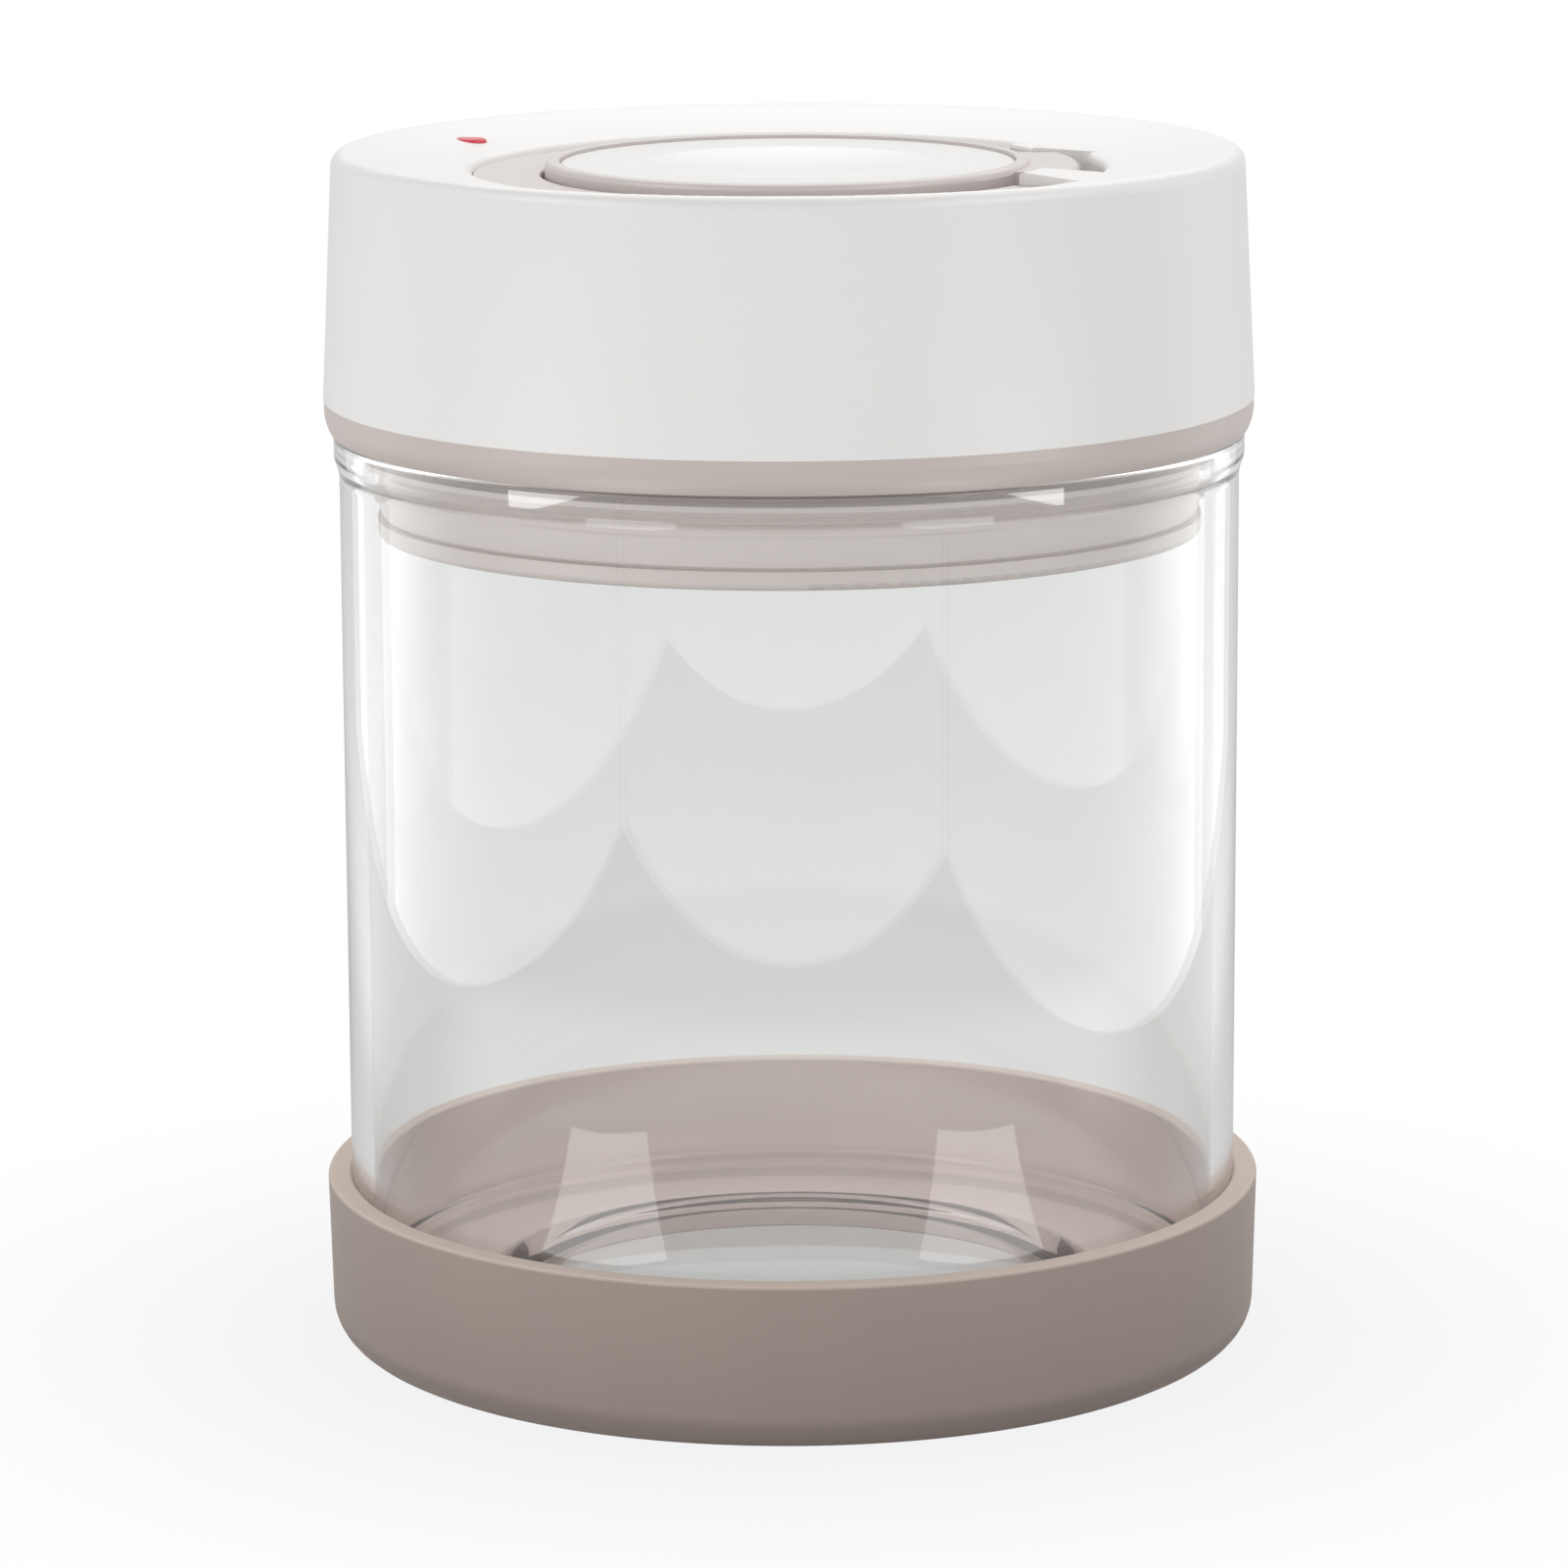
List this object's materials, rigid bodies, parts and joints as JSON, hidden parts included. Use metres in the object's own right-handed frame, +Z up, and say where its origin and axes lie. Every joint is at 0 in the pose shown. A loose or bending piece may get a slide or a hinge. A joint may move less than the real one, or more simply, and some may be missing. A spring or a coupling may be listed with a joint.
{
  "type": "vacuum seal canister",
  "caption": "Cylindrical glass food canister in a soft silicone boot, closed by a lid whose round paddle lifts on a hinge to pump air out; a small red pin lets air back in.",
  "frame": {"origin": "centre of the boot's underside, on the jar's axis", "axes": "+Z up along the jar's axis, +X towards the paddle's hinge, the front is towards -Y"},
  "size_m": [0.1264, 0.1264, 0.1611],
  "materials": {
    "clear_glass": "clear, polished",
    "boot_silicone": "matt taupe",
    "taupe_plastic": "satin taupe",
    "white_plastic": "satin white",
    "seal_silicone": "matt taupe",
    "pump_plastic": "natural white",
    "steel": "plain",
    "red_plastic": "red"
  },
  "bodies": {
    "jar": {"glass_jar": "clear_glass", "silicone_boot": "boot_silicone"},
    "lid": {"lid_base": "taupe_plastic", "lid_cap": "white_plastic", "lid_deck": "taupe_plastic", "rim_gasket": "seal_silicone", "plug_seal": "seal_silicone", "hinge_pin": "steel", "pump_cylinder": "pump_plastic", "cylinder_o_ring": "seal_silicone", "rod_guide": "pump_plastic", "inlet_valve": "seal_silicone", "inlet_screen": "taupe_plastic", "release_spring": "steel", "lid_screws": "steel", "screw_plugs": "taupe_plastic", "cylinder_screws": "steel"},
    "lever": {"lever_plate": "taupe_plastic", "lever_inlay": "white_plastic", "cross_pin": "steel"},
    "piston": {"piston_rod": "pump_plastic", "piston_head": "pump_plastic", "piston_cup_seal": "seal_silicone", "piston_screw": "steel"},
    "release": {"release_pin": "red_plastic", "release_valve": "seal_silicone"}
  },
  "joints": [
    {"name": "lid_lift", "type": "slide", "parent": "jar", "child": "lid", "axis": [0, 0, 1], "range_m": [0, 0.06]},
    {"name": "lever_lift", "type": "hinge", "parent": "lid", "child": "lever", "pos_m": [0.0375, 0, 0.15095], "axis": [0, 1, 0], "range_deg": [0, 20.2]},
    {"name": "piston_stroke", "type": "slide", "parent": "lid", "child": "piston", "axis": [0, 0, 1], "range_m": [0, 0.01315]},
    {"name": "release_press", "type": "slide", "parent": "lid", "child": "release", "axis": [0, 0, -1], "range_m": [0, 0.002], "stiffness_N_per_m": 500, "deforming": ["release_spring"]}
  ],
  "couplings": [
    {"joint": "lever_lift", "follows": "piston_stroke", "rad_per_m": 26.53}
  ]
}
